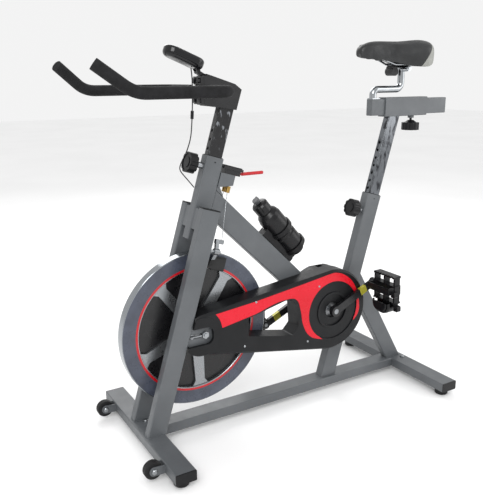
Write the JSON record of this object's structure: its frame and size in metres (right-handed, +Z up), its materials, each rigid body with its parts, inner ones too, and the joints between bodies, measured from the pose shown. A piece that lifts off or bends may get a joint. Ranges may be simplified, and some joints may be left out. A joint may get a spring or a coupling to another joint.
{
  "type": "indoor spin bike",
  "caption": "Indoor exercise bike with an exposed heavy flywheel, belt drive under a side cover, adjustable saddle and handlebar, friction brake and bottle cage.",
  "frame": {"origin": "middle of the bike's length on the floor, on its centre plane", "axes": "+X towards the rear (saddle end), +Y towards the rider's right, +Z up; the flywheel is at -X and the drive cover on the -Y side"},
  "size_m": [1.2716, 0.534, 1.1353],
  "materials": {
    "frame_paint": "grey powder coat",
    "black_paint": "satin black paint",
    "chrome": "polished chrome plate",
    "steel": "zinc plated steel",
    "flywheel_iron": "machined and lacquered iron",
    "crank_metal": "black coated forged steel",
    "alloy": "cast aluminium",
    "cover_plastic": "textured black plastic",
    "console_plastic": "glossy black plastic",
    "black_plastic": "moulded black plastic",
    "grey_plastic": "moulded grey plastic",
    "bottle_plastic": "soft black polyethylene",
    "red_plastic": "red vinyl dip",
    "belt_rubber": "ribbed rubber",
    "foot_rubber": "moulded rubber",
    "wheel_rubber": "hard black rubber",
    "grip_foam": "closed cell foam",
    "saddle_cover": "padded synthetic leather",
    "cable_steel": "stranded steel cable",
    "lead_jacket": "thin flexible jacket"
  },
  "bodies": {
    "frame": {"front_stabiliser": "frame_paint", "rear_stabiliser": "frame_paint", "bottom_tube": "frame_paint", "left_fork_leg": "frame_paint", "right_fork_leg": "frame_paint", "head_tube": "frame_paint", "diagonal_tube": "frame_paint", "seat_tube": "frame_paint", "rear_brace": "frame_paint", "welded_fittings": "frame_paint", "frame_fasteners": "steel", "flywheel_axle": "steel", "tube_caps": "black_plastic", "bottle_cage": "black_plastic", "brake_housing": "black_paint", "post_bushings": "black_plastic", "outer_cover": "cover_plastic", "inner_cover": "cover_plastic", "bracket_bearings": "steel", "left_brake_cable": "cable_steel", "right_brake_cable": "cable_steel", "drive_belt": "belt_rubber", "console_lead": "lead_jacket"},
    "flywheel": {"flywheel": "flywheel_iron", "flywheel_pulley": "alloy", "hub_bearings": "steel"},
    "crankset": {"crank_spindle": "steel", "drive_pulley": "alloy", "left_crank": "crank_metal", "right_crank": "crank_metal", "pedal_spindles": "steel"},
    "left_pedal": {"left_pedal": "black_plastic"},
    "right_pedal": {"right_pedal": "black_plastic"},
    "bar_assembly": {"bar_post": "black_paint", "bar_bracket": "black_paint", "handlebar": "black_paint", "foam_grips": "grip_foam", "bar_clamp": "black_paint"},
    "console": {"console": "console_plastic"},
    "console_button": {"console_button": "grey_plastic"},
    "seat_post": {"seat_post": "chrome", "slider_sleeve": "frame_paint"},
    "saddle_slide": {"slider_tube": "frame_paint", "saddle_stalk": "chrome"},
    "saddle": {"saddle": "saddle_cover", "saddle_clamp": "chrome"},
    "head_knob": {"head_knob": "black_plastic"},
    "seat_knob": {"seat_knob": "black_plastic"},
    "slider_knob": {"slider_knob": "black_plastic"},
    "brake_lever": {"brake_lever": "red_plastic"},
    "left_brake_arm": {"left_brake_arm": "black_paint"},
    "right_brake_arm": {"right_brake_arm": "black_paint"},
    "left_wheel": {"left_wheel": "wheel_rubber"},
    "right_wheel": {"right_wheel": "wheel_rubber"},
    "bottle": {"bottle": "bottle_plastic"},
    "bottle_spout": {"bottle_spout": "grey_plastic"},
    "front_left_foot": {"front_left_foot": "foot_rubber"},
    "front_right_foot": {"front_right_foot": "foot_rubber"},
    "rear_left_foot": {"rear_left_foot": "foot_rubber"},
    "rear_right_foot": {"rear_right_foot": "foot_rubber"}
  },
  "joints": [
    {"name": "flywheel_spin", "type": "hinge", "parent": "frame", "child": "flywheel", "pos_m": [-0.32219, 0, 0.322], "axis": [0, 1, 0], "continuous": true},
    {"name": "crank_spin", "type": "hinge", "parent": "frame", "child": "crankset", "pos_m": [0.12981, 0, 0.311], "axis": [0, 1, 0], "continuous": true},
    {"name": "left_pedal_spin", "type": "hinge", "parent": "crankset", "child": "left_pedal", "pos_m": [0.28388, -0.15, 0.38284], "axis": [0, 1, 0], "continuous": true},
    {"name": "right_pedal_spin", "type": "hinge", "parent": "crankset", "child": "right_pedal", "pos_m": [-0.02426, 0.15, 0.23916], "axis": [0, 1, 0], "continuous": true},
    {"name": "bar_height", "type": "slide", "parent": "frame", "child": "bar_assembly", "axis": [0.2874, 0, 0.9578], "range_m": [-0.1, 0.04], "deforming": ["console_lead"]},
    {"name": "console_tilt", "type": "hinge", "parent": "bar_assembly", "child": "console", "pos_m": [-0.29519, 0, 1.0405], "axis": [0, 1, 0], "range_deg": [-4, 18]},
    {"name": "console_button_press", "type": "slide", "parent": "console", "child": "console_button", "axis": [-0.3746, 0, -0.9272], "range_m": [0, 0.0015], "stiffness_N_per_m": 800},
    {"name": "seat_height", "type": "slide", "parent": "frame", "child": "seat_post", "axis": [0.2723, 0, 0.9622], "range_m": [-0.18, 0.1]},
    {"name": "saddle_fore_aft", "type": "slide", "parent": "seat_post", "child": "saddle_slide", "axis": [1, 0, 0], "range_m": [-0.08, 0.018]},
    {"name": "saddle_tilt", "type": "hinge", "parent": "saddle_slide", "child": "saddle", "pos_m": [0.43681, 0, 1.051], "axis": [0, 1, 0], "range_deg": [-12, 12]},
    {"name": "head_knob_pull", "type": "slide", "parent": "frame", "child": "head_knob", "axis": [-0.9578, 0, 0.2874], "range_m": [0, 0.01], "stiffness_N_per_m": 800},
    {"name": "seat_knob_pull", "type": "slide", "parent": "frame", "child": "seat_knob", "axis": [-0.9622, 0, 0.2723], "range_m": [0, 0.01], "stiffness_N_per_m": 800},
    {"name": "slider_knob_turn", "type": "hinge", "parent": "seat_post", "child": "slider_knob", "pos_m": [0.49081, 0, 0.887], "axis": [0, 0, 1], "range_deg": [-180, 180]},
    {"name": "brake_lever_pull", "type": "hinge", "parent": "frame", "child": "brake_lever", "pos_m": [-0.18119, 0, 0.76099], "axis": [0, 1, 0], "range_deg": [0, 20]},
    {"name": "left_brake_arm_swing", "type": "hinge", "parent": "frame", "child": "left_brake_arm", "pos_m": [-0.27769, -0.054, 0.55764], "axis": [0.9578, 0, -0.2874], "range_deg": [0, 1.3]},
    {"name": "left_wheel_spin", "type": "hinge", "parent": "frame", "child": "left_wheel", "pos_m": [-0.54919, -0.188, 0.037], "axis": [0, 1, 0], "continuous": true},
    {"name": "right_brake_arm_swing", "type": "hinge", "parent": "frame", "child": "right_brake_arm", "pos_m": [-0.27769, 0.054, 0.55764], "axis": [0.9578, 0, -0.2874], "range_deg": [-1.3, 0]},
    {"name": "right_wheel_spin", "type": "hinge", "parent": "frame", "child": "right_wheel", "pos_m": [-0.54919, 0.188, 0.037], "axis": [0, 1, 0], "continuous": true},
    {"name": "bottle_lift", "type": "slide", "parent": "frame", "child": "bottle", "axis": [-0.6652, 0, 0.7466], "range_m": [0, 0.05]},
    {"name": "spout_pull", "type": "slide", "parent": "bottle", "child": "bottle_spout", "axis": [-0.6652, 0, 0.7466], "range_m": [0, 0.006]},
    {"name": "front_left_foot_turn", "type": "hinge", "parent": "frame", "child": "front_left_foot", "pos_m": [-0.48819, -0.234, 0.01], "axis": [0, 0, 1], "range_deg": [-180, 180]},
    {"name": "front_right_foot_turn", "type": "hinge", "parent": "frame", "child": "front_right_foot", "pos_m": [-0.48819, 0.234, 0.01], "axis": [0, 0, 1], "range_deg": [-180, 180]},
    {"name": "rear_left_foot_turn", "type": "hinge", "parent": "frame", "child": "rear_left_foot", "pos_m": [0.47481, -0.234, 0.01], "axis": [0, 0, 1], "range_deg": [-180, 180]},
    {"name": "rear_right_foot_turn", "type": "hinge", "parent": "frame", "child": "rear_right_foot", "pos_m": [0.47481, 0.234, 0.01], "axis": [0, 0, 1], "range_deg": [-180, 180]}
  ],
  "couplings": [
    {"joint": "crank_spin", "follows": "flywheel_spin", "ratio": 0.32979},
    {"joint": "left_brake_arm_swing", "follows": "brake_lever_pull", "ratio": 0.065},
    {"joint": "right_brake_arm_swing", "follows": "brake_lever_pull", "ratio": -0.065}
  ]
}
